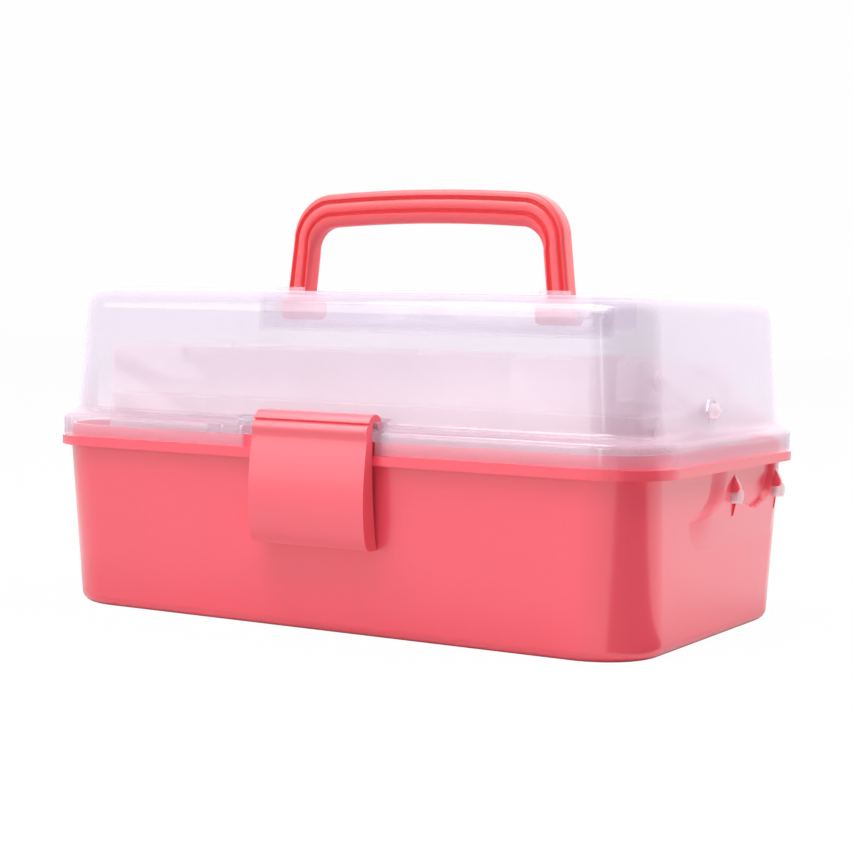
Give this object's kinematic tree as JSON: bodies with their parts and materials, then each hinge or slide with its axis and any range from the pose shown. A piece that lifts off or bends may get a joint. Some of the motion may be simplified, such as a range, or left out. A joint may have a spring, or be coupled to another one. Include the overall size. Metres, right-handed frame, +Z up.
{
  "type": "makeup storage case",
  "caption": "Storage case with a hinged clear lid, folding carry handle, front latch and cantilever trays that rise on arms as the lid opens.",
  "frame": {"origin": "centre of the bottom face that the case rests on", "axes": "+X to the right along the length seen from the front, +Y to the back (hinge side), +Z up"},
  "size_m": [0.33, 0.2154, 0.208],
  "materials": {
    "coral_body": "satin, injection-moulded",
    "coral_latch": "satin, injection-moulded",
    "coral_handle": "satin, injection-moulded",
    "clear_lid": "translucent, slightly frosted",
    "milky_tray": "translucent white",
    "white_fittings": "natural white"
  },
  "bodies": {
    "base": {"base_tub": "coral_body", "base_snap_pins": "white_fittings"},
    "lid": {"lid_shell": "clear_lid", "lid_snap_pins": "white_fittings", "hinge_pin_left": "white_fittings", "hinge_pin_right": "white_fittings", "handle_pins": "clear_lid"},
    "handle": {"carry_handle": "coral_handle"},
    "latch": {"front_latch": "coral_latch"},
    "long_arms": {"long_arm_left": "white_fittings", "long_arm_right": "white_fittings"},
    "front_arms": {"front_arm_left": "white_fittings", "front_arm_right": "white_fittings"},
    "upper_arms": {"upper_arm_left": "white_fittings", "upper_arm_right": "white_fittings"},
    "lid_links": {"lid_link_left": "white_fittings", "lid_link_right": "white_fittings"},
    "lower_tray": {"lower_tray": "milky_tray", "lower_tray_snap_pins": "white_fittings"},
    "upper_tray": {"upper_tray": "milky_tray", "upper_tray_snap_pins": "white_fittings"}
  },
  "joints": [
    {"name": "lid_hinge", "type": "hinge", "parent": "base", "child": "lid", "pos_m": [0, 0.1036, 0.086], "axis": [-1, 0, 0], "range_deg": [0, 100]},
    {"name": "handle_fold", "type": "hinge", "parent": "lid", "child": "handle", "pos_m": [0, 0, 0.1485], "axis": [-1, 0, 0], "range_deg": [0, 90]},
    {"name": "latch_swing", "type": "hinge", "parent": "lid", "child": "latch", "pos_m": [0, -0.098, 0.0958], "axis": [-1, 0, 0], "range_deg": [0, 95]},
    {"name": "long_arm_swing", "type": "hinge", "parent": "base", "child": "long_arms", "pos_m": [0, 0.0635, 0.065], "axis": [-1, 0, 0], "range_deg": [0, 52]},
    {"name": "front_arm_swing", "type": "hinge", "parent": "base", "child": "front_arms", "pos_m": [0, 0.0075, 0.066], "axis": [-1, 0, 0], "range_deg": [0, 52]},
    {"name": "lower_tray_level", "type": "hinge", "parent": "long_arms", "child": "lower_tray", "pos_m": [0, 0.0045, 0.096], "axis": [-1, 0, 0], "range_deg": [-52, 0]},
    {"name": "upper_tray_level", "type": "hinge", "parent": "long_arms", "child": "upper_tray", "pos_m": [0, -0.0545, 0.12], "axis": [-1, 0, 0], "range_deg": [-52, 0]},
    {"name": "upper_arm_swing", "type": "hinge", "parent": "lower_tray", "child": "upper_arms", "pos_m": [0, 0.06, 0.1], "axis": [-1, 0, 0], "range_deg": [0, 52]},
    {"name": "lid_link_swing", "type": "hinge", "parent": "lower_tray", "child": "lid_links", "pos_m": [0, 0.06, 0.1], "axis": [-1, 0, 0], "range_deg": [0, 116]}
  ],
  "couplings": [
    {"joint": "long_arm_swing", "follows": "lid_hinge", "ratio": 0.513},
    {"joint": "front_arm_swing", "follows": "lid_hinge", "ratio": 0.513},
    {"joint": "lower_tray_level", "follows": "lid_hinge", "ratio": -0.513},
    {"joint": "upper_tray_level", "follows": "lid_hinge", "ratio": -0.513},
    {"joint": "upper_arm_swing", "follows": "lid_hinge", "ratio": 0.513},
    {"joint": "lid_link_swing", "follows": "lid_hinge", "ratio": 1.1457}
  ]
}
